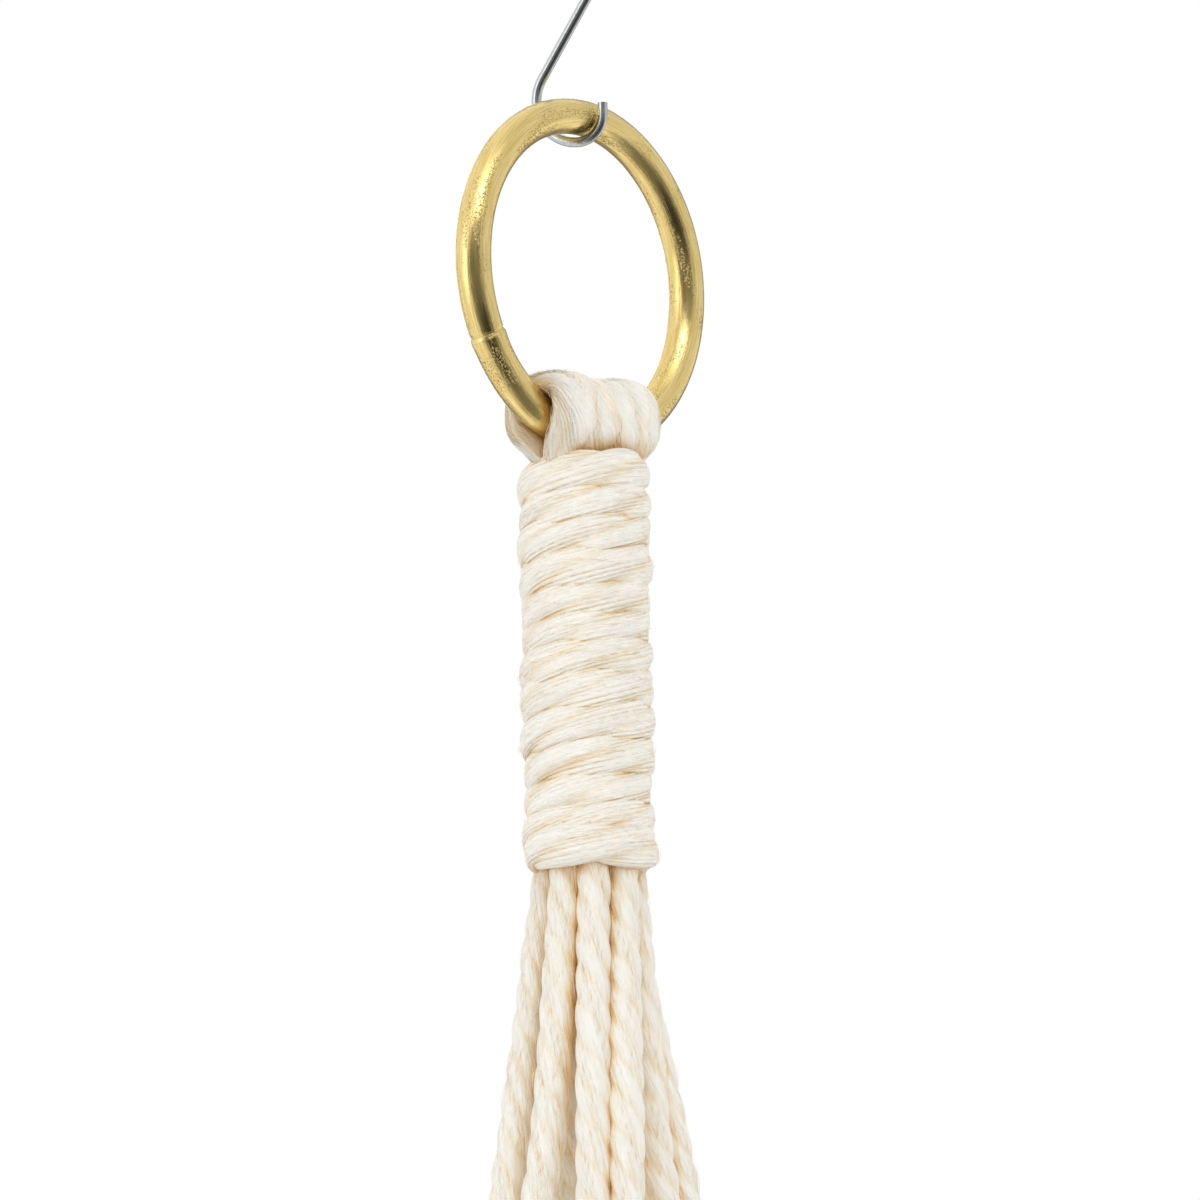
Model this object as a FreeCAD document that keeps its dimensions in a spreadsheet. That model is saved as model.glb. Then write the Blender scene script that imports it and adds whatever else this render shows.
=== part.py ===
"""Hanging macrame planter: a wire hook, a brass ring, a cotton cord hanger and a clay pot.

The frame is in millimetres, +Z up. Its origin is the point where the planter hangs: the inner
top of the hook's upper loop. The brass ring lies in the XZ plane. Four cords are folded over the
ring's lowest limb, bound by the gathering wrap, and run down as eight strands in four arms.
"""

import FreeCAD, Part

import math
import os

import Sketcher
from FreeCAD import Placement, Rotation, Vector

# Driving dimensions, in millimetres, degrees and plain counts.
SIZES = {
    "clearance": 0.3,
    # wire hook
    "hook_wire": 1.4,
    "hook_inside_length": 30,
    "hook_top_radius": 4.7,
    "hook_back_radius": 6.2,
    "hook_front_radius": 3.7,
    "hook_tip": 1.6,
    "hook_turn": 20,
    "hook_loop_end": 20,
    # brass ring
    "ring_outside": 50,
    "ring_tube": 5,
    "seam_angle": 208,
    "seam_groove": 0.3,
    # cords
    "cord": 4.8,
    "loop_cord": 4.6,
    "loop_pitch": 4.7,
    "loop_high_side": 0.9,
    # gathering wraps
    "bundle_radius": 6,
    "wrap_crest_radius": 9.25,
    "wrap_trough_radius": 8.65,
    "wrap_pitch": 4.5,
    "wrap_gap": 0.4,
    "top_turns": 13,
    "bottom_turns": 9,
    # hanger
    "strand_ring_radius": 6.1,
    "pair_offset": 2.5,
    "arm_drop": 552,
    "arm_neck": 5,
    "arm_bend": 60,
    "knot_height": 18,
    "knot_radius": 8,
    "knot_end_radius": 5.4,
    "rim_knot_drop": 39,
    "side_knot_drop": 95,
    "foot_out": 2.6,
    "foot_drop": 1.6,
    "foot_bend": 18,
    "gather_drop": 60,
    "gather_neck": 8,
    "gather_bend": 14.5,
    # pot
    "pot_rim_radius": 80,
    "pot_shoulder_radius": 73.5,
    "pot_base_radius": 56,
    "pot_height": 140,
    "pot_rim_height": 28,
    "pot_wall": 6,
    "pot_floor": 8,
    "pot_edge_fillet": 1.8,
    "pot_base_fillet": 3,
    "pot_inside_fillet": 8,
}

# Azimuths of the four arms and rim knots, and of the four side knots between them.
ARM_AZIMUTHS = (45, 135, 225, 315)
SIDE_AZIMUTHS = (0, 90, 180, 270)

# The free strands of the tassel: azimuth of the pair, and the route as
# (distance from the axis, sideways offset, drop below the bottom wrap).
TASSEL_ROUTES = (
    (0, ((6.1, -2.5, 0.2), (7.4, -2.9, 26), (8.2, -4.2, 62), (11.0, -4.6, 98), (11.4, -6.0, 128))),
    (0, ((6.1, 2.5, 0.2), (6.9, 3.1, 30), (9.6, 3.6, 66), (10.1, 5.4, 103), (13.0, 5.6, 134))),
    (90, ((6.1, -2.5, 0.2), (7.0, -3.0, 28), (9.2, -3.2, 64), (9.7, -4.9, 100), (12.2, -5.0, 131))),
    (90, ((6.1, 2.5, 0.2), (7.5, 2.8, 25), (8.0, 4.4, 60), (11.3, 4.7, 94), (11.9, 6.5, 123))),
    (180, ((6.1, -2.5, 0.2), (6.8, -3.2, 27), (9.3, -3.5, 63), (9.9, -5.5, 101), (13.3, -5.9, 135))),
    (180, ((6.1, 2.5, 0.2), (7.3, 2.9, 29), (8.3, 4.0, 65), (10.9, 4.2, 99), (11.2, 5.7, 129))),
    (270, ((6.1, -2.5, 0.2), (7.2, -2.8, 26), (8.1, -4.3, 61), (11.2, -4.6, 97), (11.6, -6.2, 126))),
    (270, ((6.1, 2.5, 0.2), (7.0, 3.2, 28), (9.5, 3.5, 65), (10.0, 5.2, 102), (12.8, 5.4, 132))),
)

doc = FreeCAD.newDocument("MacramePlanter")
sheet = doc.addObject("Spreadsheet::Sheet", "Sizes")
for row, (alias, amount) in enumerate(SIZES.items(), start=1):
    sheet.set(f"A{row}", alias)
    sheet.set(f"B{row}", str(amount))
    sheet.setAlias(f"B{row}", alias)
doc.recompute()


def size(alias):
    """A driving dimension, read from the sheet."""
    return float(sheet.get(alias))


def value(expression):
    """What a sheet expression comes to, as a plain number."""
    found = sheet.evalExpression(expression)
    return float(getattr(found, "Value", found))


# Heights that several pieces share, as sheet expressions.
S = "Sizes."
ZERO = "0"
RING_TOP_Z = f"(-{S}hook_inside_length + {S}clearance + {S}ring_tube / 2)"
RING_RADIUS = f"(({S}ring_outside - {S}ring_tube) / 2)"
RING_Z = f"({RING_TOP_Z} - {RING_RADIUS})"
RING_BOTTOM_Z = f"({RING_Z} - {RING_RADIUS})"
WRAP_TOP_Z = f"({RING_BOTTOM_Z} - {S}ring_tube / 2 - {S}wrap_gap)"
WRAP_BOTTOM_Z = f"({WRAP_TOP_Z} - {S}top_turns * {S}wrap_pitch)"
RIM_Z = f"({WRAP_BOTTOM_Z} - {S}arm_drop)"
RIM_KNOT_Z = f"({RIM_Z} - {S}rim_knot_drop)"
SIDE_KNOT_Z = f"({RIM_Z} - {S}side_knot_drop)"
POT_BASE_Z = f"({RIM_Z} - {S}pot_height)"
GATHER_Z = f"({POT_BASE_Z} - {S}gather_drop)"
TASSEL_Z = f"({GATHER_Z} - {S}bottom_turns * {S}wrap_pitch)"
# Distances of the cords from the axis, at the rim and beside the pot's wall.
RIM_CORD_RADIUS = f"({S}pot_rim_radius + {S}clearance + {S}cord / 2)"
WALL_SLOPE = f"(({S}pot_shoulder_radius - {S}pot_base_radius) / ({S}pot_height - {S}pot_rim_height))"
SIDE_WALL_RADIUS = (f"({S}pot_base_radius + {WALL_SLOPE} * "
                    f"({S}pot_height - {S}side_knot_drop + {S}knot_height / 6))")
SIDE_KNOT_RADIUS = f"({SIDE_WALL_RADIUS} + {S}clearance + {S}knot_radius)"

subparts = []


# ---------------------------------------------------------------- PartDesign helpers


def new_body(label):
    body = doc.addObject("PartDesign::Body", label)
    body.Label = label
    subparts.append(body)
    return body


def new_sketch(body, name, plane_role):
    plane = next(item for item in body.Origin.OriginFeatures if item.Role == plane_role)
    sketch = body.newObject("Sketcher::SketchObject", name)
    sketch.AttachmentSupport = [(plane, "")]
    sketch.MapMode = "FlatFace"
    return sketch


def bind(sketch, kind, elements, expression):
    """Adds a dimension to a sketch and ties it to the sheet."""
    amount = value(expression)
    index = sketch.addConstraint(Sketcher.Constraint(kind, *elements, amount))
    sketch.setExpression(f"Constraints[{index}]", expression)


def pin(sketch, element, vertex, across, up):
    """Fixes a vertex at its distances from the sketch's origin."""
    bind(sketch, "DistanceX", (-1, 1, element, vertex), across)
    bind(sketch, "DistanceY", (-1, 1, element, vertex), up)


def closed_profile(sketch, corners, bulges):
    """A closed anticlockwise outline through the corners; bulges gives a curved side's arc height."""
    count = len(corners)
    spots = [Vector(value(across), value(up), 0) for across, up in corners]
    for index in range(count):
        start, end = spots[index], spots[(index + 1) % count]
        if index in bulges:
            side = (end - start).normalize()
            outward = Vector(side.y, -side.x, 0) * value(bulges[index])
            sketch.addGeometry(Part.Arc(start, (start + end) * 0.5 + outward, end), False)
        else:
            sketch.addGeometry(Part.LineSegment(start, end), False)
    for index in range(count):
        following = (index + 1) % count
        sketch.addConstraint(Sketcher.Constraint("Coincident", index, 2, following, 1))
        pin(sketch, index, 1, *corners[index])
        if index in bulges:
            (x1, y1), (x2, y2) = corners[index], corners[following]
            chord = f"sqrt(({x2} - {x1}) ^ 2 + ({y2} - {y1}) ^ 2)"
            height = bulges[index]
            bind(sketch, "Radius", (index,), f"({chord} ^ 2 / 4 + {height} ^ 2) / (2 * {height})")


def revolve(body, sketch):
    """One full turn of a sketch about its own vertical axis."""
    turned = body.newObject("PartDesign::Revolution", "Turned")
    turned.Profile = sketch
    turned.ReferenceAxis = (sketch, ["V_Axis"])
    turned.Angle = 360
    sketch.Visibility = False
    body.Tip = turned
    return turned


def lift(item, height):
    item.setExpression("Placement.Base.z", height)


# ---------------------------------------------------------------- cord helpers


def around(azimuth, out, aside, z):
    """A point at an azimuth, a distance out from the axis, a sideways offset and a height."""
    turn = math.radians(azimuth)
    return Vector(out * math.cos(turn) - aside * math.sin(turn),
                  out * math.sin(turn) + aside * math.cos(turn), z)


def largest_radius(before, corner, after):
    """The largest tidy arc at a corner of a route: 0.45 of the shorter run."""
    shorter = min(before.distanceToPoint(corner), after.distanceToPoint(corner))
    return 0.45 * shorter / math.tan((math.pi - (before - corner).getAngle(after - corner)) / 2)


def route_wire(points, radii):
    """Straight runs through the points, joined at each inner point by a tangent arc."""
    edges, start = [], points[0]
    for before, corner, after, radius in zip(points, points[1:], points[2:], radii):
        back, onward = (before - corner).normalize(), (after - corner).normalize()
        half_turn = (math.pi - back.getAngle(onward)) / 2
        reach = radius * math.tan(half_turn)
        inset = radius / math.cos(half_turn) - radius
        middle = corner + (back + onward).normalize() * inset
        arc_start, arc_end = corner + back * reach, corner + onward * reach
        if start.distanceToPoint(arc_start) > 1e-6:
            edges.append(Part.LineSegment(start, arc_start).toShape())
        edges.append(Part.Arc(arc_start, middle, arc_end).toShape())
        start = arc_end
    if start.distanceToPoint(points[-1]) > 1e-6:
        edges.append(Part.LineSegment(start, points[-1]).toShape())
    return Part.Wire(edges)


def cord(label, points, diameter, radii=None, trimmed_by=()):
    """A round cord along a route, with its ends trimmed by the knots that it runs into."""
    if radii is None:
        radii = [largest_radius(*points[i:i + 3]) for i in range(len(points) - 2)]
    wire = route_wire(points, radii)
    first = wire.Edges[0]
    section = Part.makeCircle(diameter / 2, points[0], first.tangentAt(first.FirstParameter))
    solid = wire.makePipeShell([Part.Wire(section)], True, False)
    expected = math.pi * diameter ** 2 / 4 * wire.Length
    if abs(solid.Volume - expected) > 0.005 * expected:
        raise ValueError(f"{label}: volume {solid.Volume:.1f}, expected {expected:.1f}")
    for knot in trimmed_by:
        solid = solid.cut(knot.Shape)
    if solid.ShapeType == "Compound":
        solid = solid.Solids[0]
    item = doc.addObject("Part::Feature", label)
    item.Label = label
    item.Shape = solid
    item.Placement = Placement()
    subparts.append(item)
    print(f"{label}: length {wire.Length:.1f}, radii {[round(radius, 1) for radius in radii]}")
    return item


# ---------------------------------------------------------------- hook and ring


def make_hook():
    """A bent wire hook: a loop to hang by, a leaning shank and a catch round the ring."""
    body = new_body("s_hook")
    wire, top_radius = size("hook_wire"), size("hook_top_radius")
    back_radius, front_radius = size("hook_back_radius"), size("hook_front_radius")
    bottom = -size("hook_inside_length") - wire / 2
    top_centre = Vector(0, wire / 2 - top_radius, 0)
    back_centre = Vector(0, bottom + back_radius, 0)
    front_centre = Vector(0, bottom + front_radius, 0)
    lean = math.asin((top_radius + back_radius) / (top_centre.y - back_centre.y))
    shank_top = top_centre - Vector(math.cos(lean), math.sin(lean), 0) * top_radius
    shank_foot = back_centre + Vector(math.cos(lean), math.sin(lean), 0) * back_radius
    facing = Vector(0, 0, 1)
    tip_foot = front_centre - Vector(front_radius, 0, 0)

    path = new_sketch(body, "HookPath", "YZ_Plane")
    tip = path.addGeometry(Part.LineSegment(tip_foot + Vector(0, size("hook_tip"), 0), tip_foot), False)
    front = path.addGeometry(Part.ArcOfCircle(Part.Circle(front_centre, facing, front_radius),
                                              math.pi, 1.5 * math.pi), False)
    back = path.addGeometry(Part.ArcOfCircle(Part.Circle(back_centre, facing, back_radius),
                                             1.5 * math.pi, 2 * math.pi + lean), False)
    shank = path.addGeometry(Part.LineSegment(shank_foot, shank_top), False)
    loop = path.addGeometry(Part.ArcOfCircle(Part.Circle(top_centre, facing, top_radius),
                                             -math.radians(size("hook_loop_end")), math.pi + lean), False)
    for first, end, second, start in ((tip, 2, front, 1), (front, 2, back, 1), (back, 2, shank, 1),
                                      (shank, 2, loop, 2)):
        path.addConstraint(Sketcher.Constraint("Tangent", first, end, second, start))
    for centred in (front, back, loop):
        path.addConstraint(Sketcher.Constraint("PointOnObject", centred, 3, -2))
    path.addConstraint(Sketcher.Constraint("Vertical", tip))
    bind(path, "Radius", (front,), f"{S}hook_front_radius")
    bind(path, "Radius", (back,), f"{S}hook_back_radius")
    bind(path, "Radius", (loop,), f"{S}hook_top_radius")
    bind(path, "DistanceY", (back, 3, -1, 1),
         f"{S}hook_inside_length + {S}hook_wire / 2 - {S}hook_back_radius")
    bind(path, "DistanceY", (loop, 3, -1, 1), f"{S}hook_top_radius - {S}hook_wire / 2")
    bind(path, "DistanceY", (tip, 2, tip, 1), f"{S}hook_tip")

    section = new_sketch(body, "WireSection", "XY_Plane")
    section.setExpression("AttachmentOffset.Base.z",
                          f"{S}hook_front_radius + {S}hook_tip - {S}hook_inside_length - {S}hook_wire / 2")
    circle = section.addGeometry(Part.Circle(Vector(0, -front_radius, 0), facing, wire / 2), False)
    section.addConstraint(Sketcher.Constraint("PointOnObject", circle, 3, -2))
    bind(section, "DistanceY", (circle, 3, -1, 1), f"{S}hook_front_radius")
    bind(section, "Radius", (circle,), f"{S}hook_wire / 2")
    doc.recompute()
    bent = body.newObject("PartDesign::AdditivePipe", "BentWire")
    bent.Profile = section
    bent.Spine = (path, [f"Edge{number}" for number in range(1, 6)])
    body.Tip = bent
    body.setExpression("Placement.Rotation.Angle", f"{S}hook_turn * 1deg")


def make_ring():
    """A round brass ring, bent from rod, with the fine groove of its butt seam."""
    tube = doc.addObject("Part::Torus", "RingRod")
    tube.setExpression("Radius1", RING_RADIUS)
    tube.setExpression("Radius2", f"{S}ring_tube / 2")
    tube.Placement = Placement(Vector(), Rotation(Vector(1, 0, 0), 90))
    lift(tube, RING_Z)
    groove = doc.addObject("Part::Torus", "SeamGroove")
    groove.setExpression("Radius1", f"{S}ring_tube / 2")
    groove.setExpression("Radius2", f"{S}seam_groove / 2")
    seam = math.radians(size("seam_angle"))
    groove.Placement = Placement(Vector(), Rotation(Vector(0, 0, 1), Vector(-math.sin(seam), 0, math.cos(seam))))
    groove.setExpression("Placement.Base.x", f"{RING_RADIUS} * cos({S}seam_angle * 1deg)")
    groove.setExpression("Placement.Base.z", f"{RING_Z} + {RING_RADIUS} * sin({S}seam_angle * 1deg)")
    ring = doc.addObject("Part::Cut", "brass_ring")
    ring.Base, ring.Tool = tube, groove
    ring.Label = "brass_ring"
    subparts.append(ring)


# ---------------------------------------------------------------- cotton hanger


def make_loops():
    """Four cords folded over the ring's lowest limb, side by side, each clear of the limb's rise."""
    bend = (size("ring_tube") + size("loop_cord")) / 2 + size("clearance")
    foot = value(WRAP_TOP_Z)
    for number in range(4):
        x = (number - 1.5) * size("loop_pitch")
        high_side = abs(x) + size("loop_high_side")
        limb = value(RING_Z) - math.sqrt(value(RING_RADIUS) ** 2 - high_side ** 2)
        points = [Vector(x, -bend, foot), Vector(x, -bend, limb + bend),
                  Vector(x, bend, limb + bend), Vector(x, bend, foot)]
        cord(f"cord_loop_{number + 1}", points, size("loop_cord"), radii=[bend, bend])


def make_wrap(label, turns, foot):
    """A cord wound round the strands: one turn, repeated along the bundle."""
    body = new_body(label)
    sketch = new_sketch(body, "TurnSection", "XZ_Plane")
    corners = ((f"{S}bundle_radius", ZERO), (f"{S}wrap_trough_radius", ZERO),
               (f"{S}wrap_trough_radius", f"{S}wrap_pitch"), (f"{S}bundle_radius", f"{S}wrap_pitch"))
    closed_profile(sketch, corners, {1: f"({S}wrap_crest_radius - {S}wrap_trough_radius)"})
    doc.recompute()
    turn = revolve(body, sketch)
    doc.recompute()
    winding = body.newObject("PartDesign::LinearPattern", "Winding")
    winding.Originals = [turn]
    winding.Direction = (sketch, ["V_Axis"])
    winding.Mode = "Extent"
    winding.setExpression("Length", f"({turns} - 1) * {S}wrap_pitch")
    winding.setExpression("Occurrences", turns)
    body.Tip = winding
    lift(body, foot)


def make_bundle(label, turns, foot):
    """The eight strands inside a wrap, squeezed into one round core."""
    core = doc.addObject("Part::Cylinder", label)
    core.Label = label
    core.setExpression("Radius", f"{S}bundle_radius")
    core.setExpression("Height", f"{turns} * {S}wrap_pitch")
    lift(core, foot)
    subparts.append(core)


def make_knot(label, azimuth, out, height):
    """An overhand knot of two strands, as a barrel that is flat at both ends."""
    body = new_body(label)
    sketch = new_sketch(body, "KnotOutline", "XZ_Plane")
    corners = ((ZERO, ZERO), (f"{S}knot_end_radius", ZERO),
               (f"{S}knot_end_radius", f"{S}knot_height"), (ZERO, f"{S}knot_height"))
    closed_profile(sketch, corners, {1: f"({S}knot_radius - {S}knot_end_radius)"})
    doc.recompute()
    revolve(body, sketch)
    body.setExpression("Placement.Base.x", f"{out} * cos({azimuth}deg)")
    body.setExpression("Placement.Base.y", f"{out} * sin({azimuth}deg)")
    lift(body, f"{height} - {S}knot_height / 2")
    doc.recompute()
    return body


def make_arms(rim_knots):
    """Eight strands in four arms, from the gathering wrap over the pot's rim to the rim knots."""
    near, far, aside = size("strand_ring_radius"), value(RIM_CORD_RADIUS), size("pair_offset")
    top, rim = value(WRAP_BOTTOM_Z), value(RIM_Z)
    neck, bend = size("arm_neck"), size("arm_bend")
    for number, (azimuth, knot) in enumerate(zip(ARM_AZIMUTHS, rim_knots), start=1):
        for letter, side in (("a", -aside), ("b", aside)):
            points = [around(azimuth, near, side, top), around(azimuth, near, side, top - neck),
                      around(azimuth, far, side, rim + neck), around(azimuth, far, side, value(RIM_KNOT_Z))]
            cord(f"arm_strand_{number}{letter}", points, size("cord"), radii=[bend, bend], trimmed_by=[knot])


def make_net(rim_knots, side_knots):
    """Two strands from each rim knot, one to each of the side knots beside it."""
    far, near, aside = value(RIM_CORD_RADIUS), value(SIDE_KNOT_RADIUS), size("pair_offset")
    for number, (azimuth, knot) in enumerate(zip(ARM_AZIMUTHS, rim_knots), start=1):
        for letter, side in (("a", -1), ("b", 1)):
            lower = (number - 1 + (side > 0)) % 4
            start = around(azimuth, far, side * aside, value(RIM_KNOT_Z))
            end = around(SIDE_AZIMUTHS[lower], near, -side * aside, value(SIDE_KNOT_Z))
            cord(f"net_strand_{number}{letter}", [start, end], size("cord"),
                 trimmed_by=[knot, side_knots[lower]])


def make_base_strands(side_knots):
    """Two strands from each side knot, round the pot's foot and in to the bottom wrap."""
    out, near, aside = value(SIDE_KNOT_RADIUS), size("strand_ring_radius"), size("pair_offset")
    foot_out = size("pot_base_radius") + size("foot_out")
    foot_z = value(POT_BASE_Z) - size("foot_drop")
    gather, neck = value(GATHER_Z), size("gather_neck")
    bends = [size("foot_bend"), size("gather_bend")]
    for number, (azimuth, knot) in enumerate(zip(SIDE_AZIMUTHS, side_knots), start=1):
        for letter, side in (("a", -aside), ("b", aside)):
            points = [around(azimuth, out, side, value(SIDE_KNOT_Z)), around(azimuth, foot_out, side, foot_z),
                      around(azimuth, near, side, gather + neck), around(azimuth, near, side, gather)]
            cord(f"base_strand_{number}{letter}", points, size("cord"), radii=bends, trimmed_by=[knot])


def make_tassel():
    """The free ends of the strands, hanging below the bottom wrap."""
    for number, (azimuth, route) in enumerate(TASSEL_ROUTES, start=1):
        points = [around(azimuth, out, aside, value(TASSEL_Z) - drop) for out, aside, drop in route]
        cord(f"tassel_strand_{number}", points, size("cord"))


# ---------------------------------------------------------------- pot


def ring_edges(shape, radius, height):
    """Names of the round edges of a shape that have this radius and height."""
    names = []
    for number, edge in enumerate(shape.Edges, start=1):
        curve = edge.Curve
        if isinstance(curve, Part.Circle) and abs(curve.Radius - radius) < 0.01:
            if abs(curve.Center.z - height) < 0.01:
                names.append(f"Edge{number}")
    return names


def round_off(body, base, radius, places):
    """A fillet on the round edges at the given radii and heights."""
    names = [name for place in places for name in ring_edges(base.Shape, *place)]
    rounded = body.newObject("PartDesign::Fillet", "Rounded")
    rounded.Base = (base, names)
    rounded.setExpression("Radius", radius)
    body.Tip = rounded
    doc.recompute()
    return rounded


def make_pot():
    """A tapered clay pot with a plain band round its rim and a flat floor."""
    body = new_body("plant_pot")
    sketch = new_sketch(body, "PotSection", "XZ_Plane")
    band_foot = f"({S}pot_height - {S}pot_rim_height)"
    inner_rim, inner_floor = f"({S}pot_rim_radius - {S}pot_wall)", f"({S}pot_base_radius - {S}pot_wall)"
    corners = ((ZERO, ZERO), (f"{S}pot_base_radius", ZERO), (f"{S}pot_shoulder_radius", band_foot),
               (f"{S}pot_rim_radius", band_foot), (f"{S}pot_rim_radius", f"{S}pot_height"),
               (inner_rim, f"{S}pot_height"), (inner_floor, f"{S}pot_floor"), (ZERO, f"{S}pot_floor"))
    closed_profile(sketch, corners, {})
    doc.recompute()
    turned = revolve(body, sketch)
    doc.recompute()
    height = size("pot_height")
    band = [(size("pot_rim_radius"), height), (value(inner_rim), height),
            (size("pot_rim_radius"), value(band_foot))]
    rim = round_off(body, turned, f"{S}pot_edge_fillet", band)
    foot = round_off(body, rim, f"{S}pot_base_fillet", [(size("pot_base_radius"), 0)])
    round_off(body, foot, f"{S}pot_inside_fillet", [(value(inner_floor), size("pot_floor"))])
    lift(body, POT_BASE_Z)


# ---------------------------------------------------------------- assembly

make_hook()
make_ring()
make_loops()
make_bundle("top_bundle", f"{S}top_turns", WRAP_BOTTOM_Z)
make_wrap("gathering_wrap", f"{S}top_turns", WRAP_BOTTOM_Z)
rim_knots = [make_knot(f"rim_knot_{number}", azimuth, RIM_CORD_RADIUS, RIM_KNOT_Z)
             for number, azimuth in enumerate(ARM_AZIMUTHS, start=1)]
side_knots = [make_knot(f"side_knot_{number}", azimuth, SIDE_KNOT_RADIUS, SIDE_KNOT_Z)
              for number, azimuth in enumerate(SIDE_AZIMUTHS, start=1)]
make_arms(rim_knots)
make_net(rim_knots, side_knots)
make_base_strands(side_knots)
make_bundle("bottom_bundle", f"{S}bottom_turns", TASSEL_Z)
make_wrap("bottom_wrap", f"{S}bottom_turns", TASSEL_Z)
make_tassel()
make_pot()
doc.recompute()

failed = [item.Name for item in doc.Objects if {"Invalid", "Error"} & set(item.State)]
if failed:
    raise RuntimeError(f"these objects failed to compute: {failed}")
for item in subparts:
    if item.Shape.isNull() or not item.Shape.isValid() or len(item.Shape.Solids) != 1:
        raise RuntimeError(f"{item.Label} isn't one valid solid")

os.makedirs("parts", exist_ok=True)
for item in subparts:
    item.Shape.exportStep(f"parts/{item.Label}.step")
print(f"{len(subparts)} sub-parts written")
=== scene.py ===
"""Looks of the hanging macrame planter: twisted cotton cord, brass, steel wire and terracotta.

Every length is in metres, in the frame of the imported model. Places come from the CAD nodes' boxes.
"""

import math

import bpy
import numpy as np
from mathutils import Matrix, Vector


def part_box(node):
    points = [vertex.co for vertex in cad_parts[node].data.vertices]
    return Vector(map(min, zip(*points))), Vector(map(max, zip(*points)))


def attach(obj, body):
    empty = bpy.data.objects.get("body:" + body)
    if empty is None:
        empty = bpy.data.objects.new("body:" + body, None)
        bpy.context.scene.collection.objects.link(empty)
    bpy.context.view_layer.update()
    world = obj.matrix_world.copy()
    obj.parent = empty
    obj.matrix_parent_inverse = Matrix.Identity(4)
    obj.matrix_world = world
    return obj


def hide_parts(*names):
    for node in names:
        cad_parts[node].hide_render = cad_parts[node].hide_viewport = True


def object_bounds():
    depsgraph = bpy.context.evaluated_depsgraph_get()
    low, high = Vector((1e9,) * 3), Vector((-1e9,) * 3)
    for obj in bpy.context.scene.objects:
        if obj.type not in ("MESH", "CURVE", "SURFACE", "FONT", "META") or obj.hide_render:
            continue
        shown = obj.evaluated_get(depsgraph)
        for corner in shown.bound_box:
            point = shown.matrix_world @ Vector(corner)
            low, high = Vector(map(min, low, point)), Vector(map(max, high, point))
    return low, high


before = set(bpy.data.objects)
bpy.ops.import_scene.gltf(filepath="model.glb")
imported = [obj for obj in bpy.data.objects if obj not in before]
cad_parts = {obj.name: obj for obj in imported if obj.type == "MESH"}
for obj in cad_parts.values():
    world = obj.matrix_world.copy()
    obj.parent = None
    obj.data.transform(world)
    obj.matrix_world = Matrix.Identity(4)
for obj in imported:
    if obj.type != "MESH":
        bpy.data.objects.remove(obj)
cad_low, cad_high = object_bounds()

MM = 0.001
UP = np.array((0.0, 0.0, 1.0))

# Cord: its width, the length in which its three plies and its fibres wind once round it, and the yarns
# that show round it; then its mesh, as the step along it and the columns round it.
CORD = 4.8 * MM
LAY = 15.5 * MM
FIBRE_LAY = 50 * MM
YARNS = 21
STEP = 0.7 * MM
COLUMNS = 96

# Half the distance between the two strands of a pair, and a strand's way out at the wraps.
PAIR_OFFSET = 2.5 * MM
WRAP_CORD = 6.1 * MM

# Places read from the frame.
ring_low, ring_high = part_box("brass_ring")
RING_CENTRE = np.array((ring_low + ring_high) / 2)
RING_TUBE = (ring_high.y - ring_low.y) / 2
RING_RADIUS = (ring_high.z - ring_low.z) / 2 - RING_TUBE
wrap_low, wrap_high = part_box("gathering_wrap")
gather_low, gather_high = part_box("bottom_wrap")
pot_low, pot_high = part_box("plant_pot")
RIM_Z, POT_BASE_Z = pot_high.z, pot_low.z
POT_RIM = (pot_high.x - pot_low.x) / 2
POT_FOOT = POT_RIM - 24 * MM
RIM_CORD = POT_RIM + 2.7 * MM

ARM_AZIMUTHS = (45, 135, 225, 315)
SIDE_AZIMUTHS = (0, 90, 180, 270)


def node_centre(node):
    """The middle of a CAD node's box."""
    low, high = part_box(node)
    return np.array((low + high) / 2)


# ---------------------------------------------------------------- meshes


def new_piece(name, vertices, quads, triangles, material, body, attributes=None):
    """A smooth-shaded mesh piece from arrays, in its material, riding on its body."""
    triangles = np.zeros((0, 3), int) if triangles is None else triangles
    corners = np.concatenate([quads.ravel(), triangles.ravel()]).astype(np.int32)
    sizes = np.concatenate([np.full(len(quads), 4), np.full(len(triangles), 3)])
    mesh = bpy.data.meshes.new(name)
    mesh.vertices.add(len(vertices))
    mesh.vertices.foreach_set("co", vertices.astype(np.float32).ravel())
    mesh.loops.add(len(corners))
    mesh.loops.foreach_set("vertex_index", corners)
    mesh.polygons.add(len(sizes))
    mesh.polygons.foreach_set("loop_start", (np.cumsum(sizes) - sizes).astype(np.int32))
    mesh.polygons.foreach_set("use_smooth", np.ones(len(sizes), bool))
    mesh.update(calc_edges=True)
    for label, (kind, values) in (attributes or {}).items():
        layer = mesh.attributes.new(label, kind, "POINT")
        layer.data.foreach_set("value" if kind == "FLOAT" else "vector", values.astype(np.float32).ravel())
    mesh.materials.append(material)
    piece = bpy.data.objects.new(name, mesh)
    bpy.context.scene.collection.objects.link(piece)
    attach(piece, body)
    return piece


def grid_quads(rows, columns):
    """Quads of a tube: rows along it, columns round it, closed round."""
    row, column = np.meshgrid(np.arange(rows - 1), np.arange(columns), indexing="ij")
    after = (column + 1) % columns
    corners = (row * columns + column, row * columns + after,
               (row + 1) * columns + after, (row + 1) * columns + column)
    return np.stack(corners, axis=-1).reshape(-1, 4)


def fan(ring, centre, outward):
    """Triangles that close a ring of vertices onto a centre vertex."""
    following = np.roll(ring, -1)
    order = (ring, following) if outward else (following, ring)
    return np.stack([*order, np.full(len(ring), centre)], axis=-1)


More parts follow.
